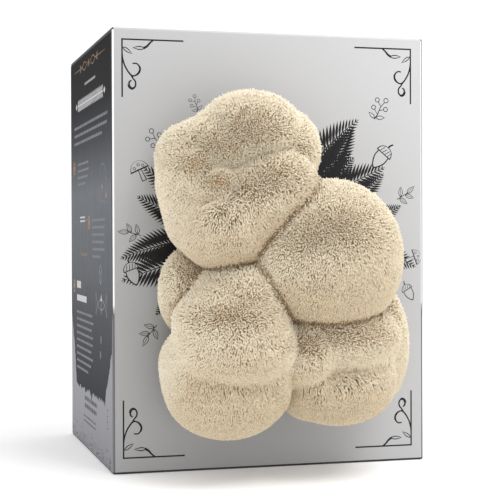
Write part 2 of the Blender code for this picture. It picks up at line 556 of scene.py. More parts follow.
@dataclass
class PrintedSheet:
    """A flat panel of the carton with its print. Lengths in millimetres."""

    name: str
    outline: list[Point]
    corner: tuple[float, float, float]
    across: tuple[float, float, float]
    up: tuple[float, float, float]
    ground: Ink = Ink.SILVER
    drawing: Drawing = field(default_factory=Drawing)
    merge_mm: float = 0.004

    def build(self, finishes: dict[Ink, bpy.types.Material]) -> bpy.types.Object:
        """Cut the panel along its print and give each area its ink.

        Args:
            finishes: The material of each ink.

        Returns:
            The panel.
        """
        areas = [(self.ground, self.outline), *self.drawing.areas]
        points, loops = [], []
        for _, outline in areas:
            loops.append(list(range(len(points), len(points) + len(outline))))
            points.extend(Vector(point) for point in outline)
        flat, _, faces, _, _, origins = delaunay_2d_cdt(points, [], loops, 4, self.merge_mm)
        inks = [ink for ink in Ink if ink is not Ink.OPEN]
        kept, slots = [], []
        for face, above in zip(faces, origins):
            ink = areas[max(above)][0] if 0 in above else Ink.OPEN
            if ink is not Ink.OPEN:
                kept.append(face)
                slots.append(inks.index(ink))
        used = sorted(set(slots))
        inside = sorted({corner for face in kept for corner in face})
        number = {corner: place for place, corner in enumerate(inside)}
        kept = [[number[corner] for corner in face] for face in kept]
        place = np.array(self.corner)
        across, up = np.array(self.across), np.array(self.up)
        vertices = np.array([place + across * flat[corner].x + up * flat[corner].y for corner in inside])
        materials = [finishes[inks[slot]] for slot in used]
        filled = [used.index(slot) for slot in slots]
        item = add_piece(self.name, vertices, kept, materials, filled, smooth=False)
        low = np.array(self.outline).min(axis=0)
        size = np.array(self.outline).max(axis=0) - low
        start = (low[0] + place @ across, low[1] + place @ up)
        unwrap_flat(item, across, up, start, tuple(size))
        return item


@dataclass(frozen=True)
class SilverBoard:
    """Satin silver-grey board with painted light: its colour grows lighter toward the top right, as if lit
    from there.
    """

    # Painted light: low is the shaded tone at the bottom left, high the lit tone at the top right.
    low: Colour = (0.36, 0.36, 0.365)
    high: Colour = (0.58, 0.58, 0.585)

    def material(self) -> bpy.types.Material:
        """Write the material."""
        recipe = Recipe("silver_board", 0.42)
        x, _, z = recipe.place()
        cloud = recipe.noise(60, 2)
        # Painted light: the colour rises toward the top and the right, as light falling from the top right
        # would.
        rise = z / HEIGHT_MM * 0.5 + x / WIDTH_MM * 0.5 + 0.25 + (cloud - 0.5) * 0.05
        recipe.bump(recipe.noise(0.5, 2), 0.012)
        return recipe.colour(recipe.mix(rise, self.low, self.high))


@dataclass(frozen=True)
class PlainInk:
    """One colour of print, slightly uneven."""

    name: str
    tone: Colour
    roughness: float = 0.5
    unevenness: float = 0.08
    gloss: float = 0.15

    def material(self) -> bpy.types.Material:
        """Write the material."""
        recipe = Recipe(self.name, self.roughness, Specular_IOR_Level=self.gloss)
        mottle = recipe.noise(3, 3)
        recipe.bump(recipe.noise(0.5, 2), 0.012)
        return recipe.colour(recipe.tint(self.tone, 1.0 - self.unevenness * mottle))


@dataclass(frozen=True)
class SlatePrint:
    """Dark sheet printed on the sides, lightest two thirds of the way up."""

    stops: tuple[tuple[float, Colour], ...] = (
        (0.15, (0.026, 0.027, 0.031)),
        (0.34, (0.070, 0.074, 0.084)),
        (0.44, (0.112, 0.119, 0.131)),
        (0.64, (0.148, 0.157, 0.172)),
        (0.76, (0.052, 0.056, 0.064)),
        (0.86, (0.012, 0.012, 0.014)),
        (1.0, (0.002, 0.002, 0.002)),
    )

    def material(self) -> bpy.types.Material:
        """Write the material."""
        recipe = Recipe("slate_print", 0.6, Specular_IOR_Level=0.03)
        _, _, z = recipe.place()
        mottle = recipe.noise(14, 4)
        recipe.bump(recipe.noise(0.5, 2), 0.012)
        tone = recipe.ramp(z / HEIGHT_MM, self.stops)
        return recipe.colour(recipe.tint(tone, 0.86 + 0.28 * mottle))


@dataclass(frozen=True)
class FoldFinish:
    """Colour along an upright fold, of one tone above a height and another below; on the front folds the
    white upper tone is a painted highlight.
    """

    name: str
    above: Colour
    below: Colour
    height: float

    def material(self) -> bpy.types.Material:
        """Write the material."""
        recipe = Recipe(self.name, 0.5, Specular_IOR_Level=0.15)
        _, _, z = recipe.place()
        fold_mottle = recipe.noise(2, 3)
        # On the front folds the white tone above this height is a painted highlight along the edge.
        share = (z + (fold_mottle - 0.5) * 6).step(self.height - 3, self.height + 3)
        tone = recipe.mix(share, self.below, self.above)
        return recipe.colour(recipe.tint(tone, 0.9 + 0.2 * fold_mottle))


@dataclass
class CornerFlourish:
    """Scroll of thin black lines in a corner of a panel. Lengths in millimetres, from the corner inward."""

    across: float = 32.0
    upright: float = 29.5
    line: float = 0.8
    offset: float = -0.8

    def draw(self, drawing: Drawing, x: float, y: float, mirror: tuple[int, int]) -> None:
        """Draw one corner.

        Args:
            drawing: The drawing.
            x: Where the corner lies across.
            y: Where it lies up.
            mirror: Its way inward along each axis, 1 or -1.
        """
        drawing.place(x, y, mirror=mirror)
        ink = Ink.BLACK
        drawing.line(ink, [(-self.line / 2, 0), (self.across, 0)], self.line)
        drawing.line(ink, [(0, 0), (0, self.upright)], self.line)
        drawing.leaf(ink, Ink.SILVER, (0.2, 3.9), (5.2, 7.4), 2.0, 0.5)
        drawing.line(ink, curve([(16.2, 0.2), (14.6, 1.4), (12.9, 3.3), (11.0, 4.4)]), 0.7, 1.3)
        drawing.leaf(ink, Ink.SILVER, (11.9, 4.3), (5.4, 4.2), 2.1, 0.55)
        tendril = [(0, 6.6), (0.3, 9.6), (1.2, 13.0), (2.8, 16.0), (4.6, 18.2), (6.1, 18.7)]
        hook = [(6.1, 18.7), (7.9, 17.6), (9.1, 15.4), (8.6, 13.2), (7.2, 12.2), (5.4, 12.3)]
        drawing.line(ink, curve(tendril), 0.7, 0.9)
        drawing.line(ink, curve(hook), 0.8, 0.7)
        drawing.line(ink, curve([(7.4, 18.3), (8.9, 17.0), (9.5, 15.3), (9.3, 13.9), (8.5, 12.9)]), 0.6, 0.5)
        rise = [(4.4, 18.0), (5.6, 19.9), (6.7, 21.2), (7.0, 22.9)]
        curl = [(6.4, 24.4), (5.2, 24.9), (4.0, 24.2), (3.5, 22.8)]
        drawing.line(ink, curve([*rise, *curl]), 0.7, 1.0)
        drawing.line(ink, curve([(3.5, 22.8), (3.8, 21.6), (4.8, 20.9)]), 1.0, 0.7)
        drawing.line(ink, curve([(3.0, 22.9), (3.5, 24.5), (4.9, 25.4), (6.2, 25.0)]), 0.6, 0.6)

    def frame(self, drawing: Drawing, half_width: float, low: float, high: float) -> None:
        """Draw all four corners of a panel.

        Args:
            drawing: The drawing.
            half_width: Distance of the corners from the panel's middle.
            low: Height of the lower corners.
            high: Height of the upper corners.
        """
        for side in (-1, 1):
            self.draw(drawing, side * half_width + self.offset, low, (-side, 1))
            self.draw(drawing, side * half_width + self.offset, high, (-side, -1))


@dataclass
class Undergrowth:
    """Print round the mushroom: a ring of black ferns, with small things of the forest floor in outline."""

    centre: Point = (-1.0, 122.0)
    reach: Point = (76.0, 70.0)
    line: float = 0.45
    ink: Ink = Ink.BLACK

    def fern(
        self, drawing: Drawing, root: Point, turn: float, length: float, bend: float, pairs: int = 22
    ) -> None:
        """Draw a fern frond.

        Args:
            drawing: The drawing.
            root: Its lower end.
            turn: Its direction in degrees from upright, leftward.
            length: Its length.
            bend: How far its tip leans, as a share of its length.
            pairs: Number of its pairs of leaflets.
        """
        drawing.place(*root, turn=turn)
        shares = np.linspace(0, 1, pairs + 2)
        stem = [(bend * length * t * t, length * t) for t in shares]
        drawing.line(self.ink, stem, 0.9, 0.3)
        for number in range(1, pairs + 1):
            t = shares[number]
            size = length * 0.27 * math.sin(math.pi * (0.10 + 0.90 * t) ** 0.75) ** 0.8
            lean = math.atan(2 * bend * t)
            for side in (-1, 1):
                way = math.radians(58 - 22 * t) * side + lean
                tip = (stem[number][0] + size * math.sin(way), stem[number][1] + size * math.cos(way))
                drawing.leaf(self.ink, None, stem[number], tip, size * 0.12 + 0.40)

    def acorn(self, drawing: Drawing, x: float, y: float, turn: float, size: float = 1.0) -> None:
        """Draw an acorn in outline.

        Args:
            drawing: The drawing.
            x: Where it lies across.
            y: Where it lies up.
            turn: Its turn in degrees.
            size: Its scale.
        """
        drawing.place(x, y, turn, size)
        nut = curve([(-3, 0.5), (-3.1, -2.5), (-2, -5.2), (0, -7.4), (2, -5.2), (3.1, -2.5), (3, 0.5)], 3)
        inner = [(px * 0.84, 0.3 + (py - 0.3) * 0.9) for px, py in nut]
        drawing.fill(self.ink, nut)
        drawing.fill(Ink.SILVER, inner)
        cap = [(-3.9, 0.2), *arc((0, 0.2), 3.9, 180, 0, 8)[1:-1], (3.9, 0.2)]
        drawing.fill(self.ink, cap)
        drawing.fill(Ink.SILVER, [(px * 0.86, 0.65 + (py - 0.2) * 0.8) for px, py in cap])
        for offset in (-2.2, -0.8, 0.6, 2.0):
            drawing.line(self.ink, [(offset, 0.7), (offset + 0.9, 3.0)], 0.3)
        drawing.line(self.ink, curve([(0, 3.9), (0.2, 5.2), (0.9, 6.3)], 2), 0.8, 0.6)

    def berries(self, drawing: Drawing, x: float, y: float, turn: float, size: float = 1.0) -> None:
        """Draw a sprig with round berries and leaves in outline.

        Args:
            drawing: The drawing.
            x: Where it lies across.
            y: Where it lies up.
            turn: Its turn in degrees.
            size: Its scale.
        """
        drawing.place(x, y, turn, size)
        stem = curve([(0, 0), (0.6, 4), (0.2, 8), (1.2, 12)], 3)
        drawing.line(self.ink, stem, 0.6, 0.4)
        for side, height in ((-1, 3.5), (1, 6.0), (-1, 8.5)):
            drawing.line(self.ink, [(0.5, height), (side * 2.6, height + 1.9)], 0.4)
            drawing.ring(self.ink, Ink.SILVER, (side * 3.6, height + 2.6), 1.5, self.line)
        drawing.ring(self.ink, Ink.SILVER, (1.4, 13.4), 1.6, self.line)
        drawing.leaf(self.ink, Ink.SILVER, (0.3, 1.2), (5.6, 4.0), 2.6, self.line)
        drawing.leaf(self.ink, Ink.SILVER, (0.2, 0.6), (-5.0, 2.2), 2.4, self.line)

    def toadstool(self, drawing: Drawing, x: float, y: float, turn: float, size: float = 1.0) -> None:
        """Draw a small capped mushroom in outline.

        Args:
            drawing: The drawing.
            x: Where it lies across.
            y: Where it lies up.
            turn: Its turn in degrees.
            size: Its scale.
        """
        drawing.place(x, y, turn, size)
        stem = [(-1.3, 0), (1.3, 0), (0.9, 6.2), (-0.9, 6.2)]
        drawing.fill(self.ink, stem)
        drawing.fill(Ink.SILVER, [(px * 0.62, 0.4 + py * 0.95) for px, py in stem])
        cap = [(-5, 5.6), (5, 5.6), *arc((0, 5.8), 4.6, 0, 180, 9)[1:-1]]
        drawing.fill(self.ink, cap)
        drawing.fill(Ink.SILVER, [(px * 0.88, 6.3 + (py - 5.6) * 0.82) for px, py in cap])
        for offset, height in ((-2.2, 7.4), (0.3, 8.4), (2.3, 7.2)):
            drawing.ring(self.ink, Ink.SILVER, (offset, height), 0.8, 0.3, 8)

    def sprig(self, drawing: Drawing, x: float, y: float, turn: float, size: float = 1.0) -> None:
        """Draw a twig with veined leaves in outline.

        Args:
            drawing: The drawing.
            x: Where it lies across.
            y: Where it lies up.
            turn: Its turn in degrees.
            size: Its scale.
        """
        drawing.place(x, y, turn, size)
        drawing.line(self.ink, [(0, 0), (0, 9)], 0.5, 0.4)
        leaves = (((0, 2), (6.4, 5)), ((0, 3), (-6.2, 6.6)), ((0, 6.5), (5.2, 11)), ((0, 8), (-1.6, 15.5)))
        for root, tip in leaves:
            drawing.leaf(self.ink, Ink.SILVER, root, tip, 3.2, self.line)
            drawing.line(self.ink, [root, tuple(0.2 * a + 0.8 * b for a, b in zip(root, tip))], 0.3)

    def at(self, way: float, share: float) -> Point:
        """A point of the ring.

        Args:
            way: Its direction from the ring's centre, in radians.
            share: Its distance, as a share of the reach.

        Returns:
            The point.
        """
        x = self.centre[0] + self.reach[0] * share * math.cos(way)
        y = self.centre[1] + self.reach[1] * share * math.sin(way)
        return x, y

    def draw(self, drawing: Drawing) -> None:
        """Draw the whole ring.

        Args:
            drawing: The drawing.
        """
        draw = np.random.default_rng(5)
        spans = ((-28, 62, 14), (146, 210, 10))
        for start, end, count in spans:
            for number, angle in enumerate(np.linspace(start, end, count)):
                way = math.radians(angle + draw.uniform(-2, 2))
                edge = draw.uniform(0.94, 1.10) if number % 2 else draw.uniform(0.72, 0.88)
                inner = draw.uniform(0.28, 0.55)
                root, tip = self.at(way, inner), self.at(way, edge)
                turn = math.degrees(math.atan2(tip[1] - root[1], tip[0] - root[0])) - 90
                self.fern(drawing, root, turn, math.dist(root, tip), draw.uniform(-0.25, 0.25))
        self.acorn(drawing, 62, 165, -40, 1.25)
        self.berries(drawing, 57, 184, -28, 0.9)
        self.sprig(drawing, 70, 141, -60, 0.8)
        self.toadstool(drawing, 75, 108, -70, 0.9)
        self.acorn(drawing, 76, 92, 30, 0.85)
        self.toadstool(drawing, -68, 150, 25, 1.05)
        self.berries(drawing, -58, 166, 40, 0.85)
        self.sprig(drawing, -70, 122, 75, 0.8)
        self.acorn(drawing, -75, 104, 20, 1.1)
        self.sprig(drawing, -62, 76, 140, 0.85)
        self.berries(drawing, -40, 186, 18, 0.6)


@dataclass
class GuidePrint:
    """Print of both sides: a dark torn sheet with plain bars, marks and line icons on pale board.

    Places are millimetres from the panel's middle, and heights from the floor.
    """

    half: float = DEPTH_MM / 2
    tear: tuple[Point, ...] = (
        (84, 71),
        (75, 67),
        (65, 52),
        (50, 35),
        (-54, 35),
        (-61, 56),
        (-73, 76),
        (-84, 79),
    )
    rag: float = 1.1
    seed: int = 21

    def torn_edge(self, draw: np.random.Generator) -> list[Point]:
        """Lower edge of the dark sheet.

        Args:
            draw: The source of random numbers.

        Returns:
            Its points from the front backward.
        """
        edge = []
        for start, end in zip(self.tear, self.tear[1:]):
            count = max(2, int(math.dist(start, end) / 1.8))
            level = abs(start[1] - end[1]) < 3
            for t in np.arange(count) / count:
                x = start[0] + (end[0] - start[0]) * t + draw.normal() * self.rag * 0.5
                drop = abs(draw.normal()) * self.rag * (1.9 if level else 0.8)
                edge.append((x, start[1] + (end[1] - start[1]) * t - drop))
        return edge

    def words(
        self,
        drawing: Drawing,
        ink: Ink,
        start: float,
        ends: Sequence[float],
        high: float,
        pitch: float,
        tall: float,
    ) -> None:
        """Draw lines of plain bars, like text seen from far away.

        Args:
            drawing: The drawing.
            ink: Their ink.
            start: Where each line starts.
            ends: Where each line ends.
            high: Height of the first line's middle.
            pitch: Distance between two lines.
            tall: Height of a bar.
        """
        draw = np.random.default_rng(int(high * 7) + len(ends))
        for number, end in enumerate(ends):
            middle = high - number * pitch
            left = start
            while left < end - 1:
                right = min(end, left + draw.uniform(2.4, 8.0))
                drawing.bar(ink, left, right, middle - tall / 2, middle + tall / 2)
                left = right + 1.1

    def heading(self, drawing: Drawing) -> None:
        """Draw the gold flourish and the white leaf band below it.

        Args:
            drawing: The drawing.
        """
        drawing.place(-2, 219.5)
        for side in (-1, 1):
            drawing.line(Ink.GOLD, [(side * 57, 0), (side * 24, 0)], 0.25, 0.9)
            for way in (1, -1):
                swirl = [(side * 24, 0), (side * 17, way * 2.2), (side * 11, way * 1.6), (side * 9, 0)]
                drawing.line(Ink.GOLD, curve(swirl), 0.8, 0.6)
            drawing.ring(Ink.GOLD, Ink.SLATE, (side * 6, 0), 1.6, 0.5)
            drawing.leaf(Ink.GOLD, None, (side * 27, 0.2), (side * 34, 2.4), 1.4)
            drawing.leaf(Ink.GOLD, None, (side * 27, -0.2), (side * 34, -2.4), 1.4)
        drawing.fill(Ink.GOLD, [(-3, 0), (0, -2.4), (3, 0), (0, 2.4)])
        drawing.place(0, 0)
        drawing.bar(Ink.PALE, -17, 22, 208.3, 209.7)
        drawing.place(1.5, 198.5)
        drawing.line(Ink.WHITE, [(-46, 0), (46, 0)], 1.0)
        for number in range(-11, 12):
            x = number * 4.0
            for side in (-1, 1):
                drawing.leaf(Ink.WHITE, None, (x - 1.6, side * 0.3), (x + 1.8, side * 3.6), 2.1)
        for side in (-1, 1):
            drawing.fill(Ink.WHITE, [(side * 48, 0), (side * 51, -2), (side * 54, 0), (side * 51, 2)])
        drawing.place(0, 0)

    def icons(self, drawing: Drawing) -> None:
        """Draw the round marks and the line icons.

        Args:
            drawing: The drawing.
        """
        for x, z in ((-59.8, 162.5), (-2.5, 129.5), (-62, 92)):
            drawing.ring(Ink.AMBER, Ink.SLATE, (x, z), 3.9, 0.9, 20)
            drawing.ring(Ink.AMBER, Ink.AMBER, (x, z), 1.6, 0.2, 10)
        jug = [(38, 141), (54, 139), (56, 156), (50, 160), (42, 160), (37, 155)]
        drawing.line(Ink.ASH, [*jug, jug[0]], 0.5)
        drawing.line(Ink.ASH, curve([(56, 152), (61, 150), (59, 143), (55, 143)]), 0.5)
        for x, z in ((44, 148), (57, 143)):
            drawing.ring(Ink.AMBER, Ink.AMBER, (x, z), 1.5, 0.2, 10)
        pouch = [(-37, 131), (-7, 131), (-9, 111), (-35, 111)]
        drawing.line(Ink.ASH, [*pouch, pouch[0]], 0.6)
        drawing.bar(Ink.WHITE, -37, -18, 132.3, 133.2)
        drawing.bar(Ink.WHITE, -37, -18, 130.1, 131.0)
        drawing.bar(Ink.UMBER, -34, -10, 111, 112.2)
        cube = arc((37.5, 101), 5.2, 90, 450, 6)
        drawing.line(Ink.PALE, cube, 0.5)
        for corner in (30, 150, 270):
            drawing.line(Ink.PALE, [(37.5, 101), arc((37.5, 101), 5.2, corner, corner, 1)[0]], 0.5)
        oval = [*arc((39.5, 66), 22, 35, 145, 10), *arc((39.5, 104), 22, 215, 325, 10)]
        oval = [(x, 85 + (z - 85) * 0.95) for x, z in oval]
        drawing.line(Ink.PALE, [*oval, oval[0]], 0.5)
        drawing.bar(Ink.PALE, 38.9, 40.1, 80, 88)
        drawing.fill(Ink.WHITE, [(37, 87), (42, 87), (39.5, 91)])
        for x, z in ((38.3, 66.2), (36.5, 58)):
            drawing.ring(Ink.UMBER, Ink.UMBER, (x, z), 2.3, 0.3, 10)

    def draw(self, drawing: Drawing) -> None:
        """Draw the whole side.

        Args:
            drawing: The drawing.
        """
        draw = np.random.default_rng(self.seed)
        drawing.fill(Ink.SLATE, [(-84, 234), *self.torn_edge(draw)[::-1], (84, 234)])
        self.heading(drawing)
        self.words(drawing, Ink.ASH, -59, (62, 60, 44), 186, 4.6, 1.6)
        self.words(drawing, Ink.ASH, -45, (-4, -2, -6, -16), 164.0, 3.9, 1.4)
        self.words(drawing, Ink.ASH, 10, (53, 51, 52, 49, 52, 38), 130.6, 4.0, 1.4)
        drawing.bar(Ink.WHITE, -51, -35, 91.2, 95.4)
        drawing.bar(Ink.WHITE, -51, -13, 83.6, 87.2)
        self.words(drawing, Ink.ASH, -52, (8, 11, 6, 10, 9, 4, 10, 2, -8), 77.0, 4.1, 1.4)
        self.icons(drawing)
        self.words(drawing, Ink.CHARCOAL, -21, (24, 22), 28.8, 4.4, 2.4)
        self.words(drawing, Ink.CHARCOAL, -25, (20, 18), 18.3, 2.9, 0.9)
        for number in range(7):
            low = 21 + 1.6 * number
            drawing.bar(Ink.CHARCOAL, 57 + number % 2, 60 - number % 2, low, low + 0.8)
        places, heights = draw.uniform(-74, 74, 190), draw.exponential(3.4, 190)
        for x, height, size in zip(places, heights, draw.uniform(0.25, 0.9, 190)):
            turn = draw.uniform(0, 90)
            drawing.fill(Ink.CHARCOAL, arc((x, 1.6 + height), size, turn, turn + 360, 5)[:-1])


@dataclass
class Carton:
    """The closed carton, panel by panel, with its folds, flap seams and window. Lengths in millimetres."""

    fold: float = 1.2
    lid_tuck: float = 3.6
    base_tuck: float = 2.0
    board: float = 1.2
    seam_inset: float = 1.4
    seam_width: float = 0.6
    seam_depth: float = 0.7
    hinge_margin: float = 3.0
    window_radius: float = 42.0
    window: Point = (-5.0, 105.0)
    least_radius: float = 0.05
    steps: int = 4
    margin: float = 6.3

    def profile(self, inset: float) -> list[Point]:
        """Outline of the carton seen from its side.

        Args:
            inset: How far it lies inside the real outline.

        Returns:
            Points of depth and height, from the front's foot round by the back.
        """
        half, high = DEPTH_MM / 2, HEIGHT_MM
        folds = (
            (-1, 0, self.fold, 180),
            (1, 0, self.base_tuck, 270),
            (1, 1, self.lid_tuck, 0),
            (-1, 1, self.fold, 90),
        )
        points = []
        for side, top, radius, start in folds:
            centre = (side * (half - radius), high - radius if top else radius)
            points += arc(centre, max(radius - inset, self.least_radius), start, start + 90, self.steps)
        return points

    def finishes(self) -> dict[Ink, bpy.types.Material]:
        """Write the material of every ink."""
        return {
            Ink.SILVER: SilverBoard().material(),
            Ink.BLACK: PlainInk("black_line", (0.018, 0.017, 0.018), 0.5).material(),
            Ink.SLATE: SlatePrint().material(),
            Ink.PALE: PlainInk("pale_print", (0.24, 0.24, 0.265), 0.45, 0.12).material(),
            Ink.WHITE: PlainInk("white_print", (0.54, 0.54, 0.55), 0.5).material(),
            Ink.AMBER: PlainInk("amber_print", (0.42, 0.19, 0.04), 0.5).material(),
            Ink.ASH: PlainInk("ash_print", (0.155, 0.157, 0.172), 0.5).material(),
            Ink.GOLD: PlainInk("gold_print", (0.17, 0.085, 0.032), 0.5).material(),
            Ink.UMBER: PlainInk("umber_print", (0.15, 0.095, 0.04), 0.5).material(),
            Ink.CHARCOAL: PlainInk("charcoal_print", (0.035, 0.035, 0.04), 0.5).material(),
        }

    def grooves(self) -> list[tuple[np.ndarray, np.ndarray, int, int]]:
        """Seams round the lid and the base flap: corners, the axis of each cut, and its open side."""
        half_x, half_y, high = WIDTH_MM / 2, DEPTH_MM / 2, HEIGHT_MM
        outer = half_x - self.seam_inset
        inner = outer - self.seam_width
        hinge = -half_y + self.hinge_margin
        cuts = []
        for top, tuck in ((1, self.lid_tuck), (0, self.base_tuck)):
            levels = (high - self.seam_depth, high) if top else (0, self.seam_depth)
            for low_x, high_x in ((-outer, -inner), (inner, outer)):
                low = np.array((low_x, hinge, levels[0]))
                cuts.append((low, np.array((high_x, half_y - tuck, levels[1])), 2, top))
            low_z = high - tuck - self.seam_width if top else tuck
            low = np.array((-outer, half_y - self.seam_depth, low_z))
            cuts.append((low, np.array((outer, half_y, low_z + self.seam_width)), 1, 1))
        return cuts

    def seams(self, finish: bpy.types.Material) -> bpy.types.Object:
        """Make the walls and floors of the seams.

        Args:
            finish: The board's cut edge.

        Returns:
            The piece.
        """
        vertices, faces = [], []
        for low, high, axis, side in self.grooves():
            start = len(vertices)
            for corner in range(8):
                vertices.append([high[i] if corner >> i & 1 else low[i] for i in range(3)])
            for across in range(3):
                for far in (0, 1):
                    if (across, far) == (axis, side):
                        continue
                    first, second = ((across + 1) % 3, (across + 2) % 3)
                    base = far << across
                    loop = [base, base | 1 << first, base | 1 << first | 1 << second, base | 1 << second]
                    faces.append([start + corner for corner in (loop[::-1] if far else loop)])
        return add_piece("carton_seams", np.array(vertices), faces, [finish], smooth=False)

    def folds(self, inks: dict[Ink, bpy.types.Material]) -> bpy.types.Object:
        """Make the rounded folds along every edge.

        Args:
            inks: The material of each ink.

        Returns:
            The piece.
        """
        half = WIDTH_MM / 2
        turns = np.radians(np.linspace(0, 90, self.steps + 1))
        rings = [(half - self.fold + self.fold * math.cos(t), self.fold * (1 - math.sin(t))) for t in turns]
        rings = [(-x, inset) for x, inset in rings] + rings[::-1]
        vertices, faces = [], []
        for x, inset in rings:
            vertices += [(x, y, z) for y, z in self.profile(inset)]
        count = len(vertices) // len(rings)
        for ring in range(len(rings) - 1):
            for corner in range(count):
                middle = ring == self.steps
                if middle and corner % (self.steps + 1) == self.steps:
                    continue
                a, b = ring * count + corner, ring * count + (corner + 1) % count
                faces.append((a, a + count, b + count, b))
        materials = [
            inks[Ink.SILVER],
            # Front folds: white above 84 mm is a painted highlight along the edge, dark grey below.
            FoldFinish("front_fold_painted_highlight", (0.93, 0.93, 0.94), (0.15, 0.15, 0.155), 84).material(),
            FoldFinish("side_fold", (0.06, 0.06, 0.066), (0.20, 0.20, 0.22), 80).material(),
            # Near-black: the lid board's dark edge at the side tops, with painted shade in the seams there
            # and at the foot.
            PlainInk("dark_edge_and_painted_shade", (0.050, 0.050, 0.052), 0.6).material(),
        ]
        points = np.array(vertices)
        slots = []
        for face in faces:
            x, y, z = points[list(face)].mean(axis=0)
            beside = abs(x) > half - self.fold
            turned = -half + self.fold * 0.35 < x < half - self.fold * 0.55
            # Near-black strips: the foot of every fold is painted shade where the carton meets the floor; the
            # tops of the sides are the lid board's dark edge with painted shade in the seam.
            if z < self.fold or (beside and z > HEIGHT_MM - self.fold):
                slots.append(3)
            elif beside and y < 0:
                slots.append(1 if turned else 2)
            else:
                slots.append(2 if beside else 0)
        return add_piece("carton_folds", points, faces, materials, slots)

    def window_rim(self, finish: bpy.types.Material) -> bpy.types.Object:
        """Make the cut edge of the board round the window.

        Args:
            finish: The board's cut edge.

        Returns:
            The piece.
        """
        circle = arc(self.window, self.window_radius, 0, 360, 64)[:-1]
        vertices = [(x, FRONT_Y_MM + depth, z) for depth in (0, self.board) for x, z in circle]
        faces = [(i, (i + 1) % 64, 64 + (i + 1) % 64, 64 + i) for i in range(64)]
        return add_piece("carton_window_rim", np.array(vertices), faces, [finish])

    def sheets(self) -> list[PrintedSheet]:
        """The six flat panels with their print."""
        half_x, half_y, high = WIDTH_MM / 2, DEPTH_MM / 2, HEIGHT_MM
        wide = half_x - self.fold
        near = half_y - self.fold
        corners = CornerFlourish()

        def rectangle(low: float, top: float) -> list[Point]:
            """A panel's outline between two heights.

            Args:
                low: The lower height.
                top: The upper height.

            Returns:
                Its four corners.
            """
            return [(-wide, low), (wide, low), (wide, top), (-wide, top)]

        outline = rectangle(self.fold, high - self.fold)
        front = PrintedSheet("carton_front", outline, (0, -half_y, 0), (1, 0, 0), (0, 0, 1))
        Undergrowth().draw(front.drawing)
        corners.frame(front.drawing, half_x - self.margin, 8.3, 222.0)
        front.drawing.place(0, 0)
        front.drawing.fill(Ink.OPEN, arc(self.window, self.window_radius, 0, 360, 64)[:-1])
        outline = rectangle(self.base_tuck, high - self.lid_tuck)
        back = PrintedSheet("carton_back", outline, (0, half_y, 0), (-1, 0, 0), (0, 0, 1))
        corners.frame(back.drawing, half_x - self.margin, 9.4, 216.0)
        outline = rectangle(-near, half_y - self.lid_tuck)
        lid = PrintedSheet("carton_lid", outline, (0, 0, high), (1, 0, 0), (0, 1, 0))
        outline = rectangle(self.base_tuck - half_y, near)
        base = PrintedSheet("carton_base", outline, (0, 0, 0), (1, 0, 0), (0, -1, 0))
        corners.frame(lid.drawing, half_x - 9, -66, 63)
        side = self.profile(self.fold)
        outline = [(-y, z) for y, z in side][::-1]
        left = PrintedSheet("carton_left", outline, (-half_x, 0, 0), (0, -1, 0), (0, 0, 1))
        right = PrintedSheet("carton_right", side, (half_x, 0, 0), (0, 1, 0), (0, 0, 1))
        for panel in (left, right):
            panel.ground = Ink.PALE
            GuidePrint().draw(panel.drawing)
            # A black band along each side's top edge: partly the dark edge of the lid board, partly painted
            # shade in the seam under it.
            panel.drawing.bar(Ink.BLACK, -half_y, half_y, high - self.fold - 1.0, high)
        for panel, mirror in ((back, -1), (lid, 1), (base, 1)):
            panel.drawing.place(0, 0)
            for low, top, axis, _ in self.grooves():
                depth_axis = 2 if panel is back else 1
                if (axis == 1) == (panel is back) and (panel is back or (low[2] > 9) == (panel is lid)):
                    sign = -1 if panel is base else 1
                    ends = sorted((sign * low[depth_axis], sign * top[depth_axis]))
                    across = sorted((mirror * low[0], mirror * top[0]))
                    panel.drawing.bar(Ink.OPEN, *across, *ends)
        return [front, back, lid, base, left, right]

    def build(self) -> None:
        """Make the carton."""
        inks = self.finishes()
        cut = PlainInk("grey_board_core", (0.20, 0.19, 0.18), 0.85).material()
        for sheet in self.sheets():
            hand_over(sheet.build(inks), "carton")
        for item in (self.folds(inks), self.seams(cut), self.window_rim(cut)):
            hand_over(item, "carton")


@dataclass
class GrowBlock:
    """Sawdust block and the film round it, which keep their CAD shapes."""

    def film(self) -> bpy.types.Material:
        """Write the milky film of the bag."""
        recipe = Recipe("grow_bag_film", 0.3, IOR=1.5)
        crinkle = recipe.noise(9, 4, (1.0, 1.0, 0.4))
        recipe.bump(crinkle, 0.8)
        return recipe.colour(recipe.mix(crinkle, (0.62, 0.63, 0.62), (0.80, 0.80, 0.79)))

    def sawdust(self) -> bpy.types.Material:
        """Write the sawdust with white threads through it."""
        recipe = Recipe("colonised_sawdust", 0.9)
        threads = recipe.noise(11, 5).step(0.42, 0.62)
        grain = recipe.noise(1.6, 3)
        wood = recipe.mix(grain, (0.24, 0.14, 0.07), (0.50, 0.36, 0.20))
        recipe.bump(grain, 0.6)
        return recipe.colour(recipe.mix(threads, wood, (0.78, 0.75, 0.68)))

    def build(self) -> None:
        """Give both their finishes."""
        for node, finish in (("grow_bag", self.film()), ("substrate_block", self.sawdust())):
            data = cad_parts[node].data
            data.materials.clear()
            data.materials.append(finish)
            log.info("%s: finished", node)


@dataclass(frozen=True)
class Lump:
    """One ellipsoid of the mushroom's outline. Lengths in millimetres."""

    centre: tuple[float, float, float]
    radii: tuple[float, float, float]

    def distance(self, points: np.ndarray) -> np.ndarray:
        """Distance of points from its surface, below 0 inside.

        Args:
            points: The points.

        Returns:
            Their distances.
        """
        away = points - np.array(self.centre)
        radii = np.array(self.radii)
        share = np.linalg.norm(away / radii, axis=-1)
        slope = np.linalg.norm(away / radii ** 2, axis=-1)
        return share * (share - 1) / np.maximum(slope, 1e-9)


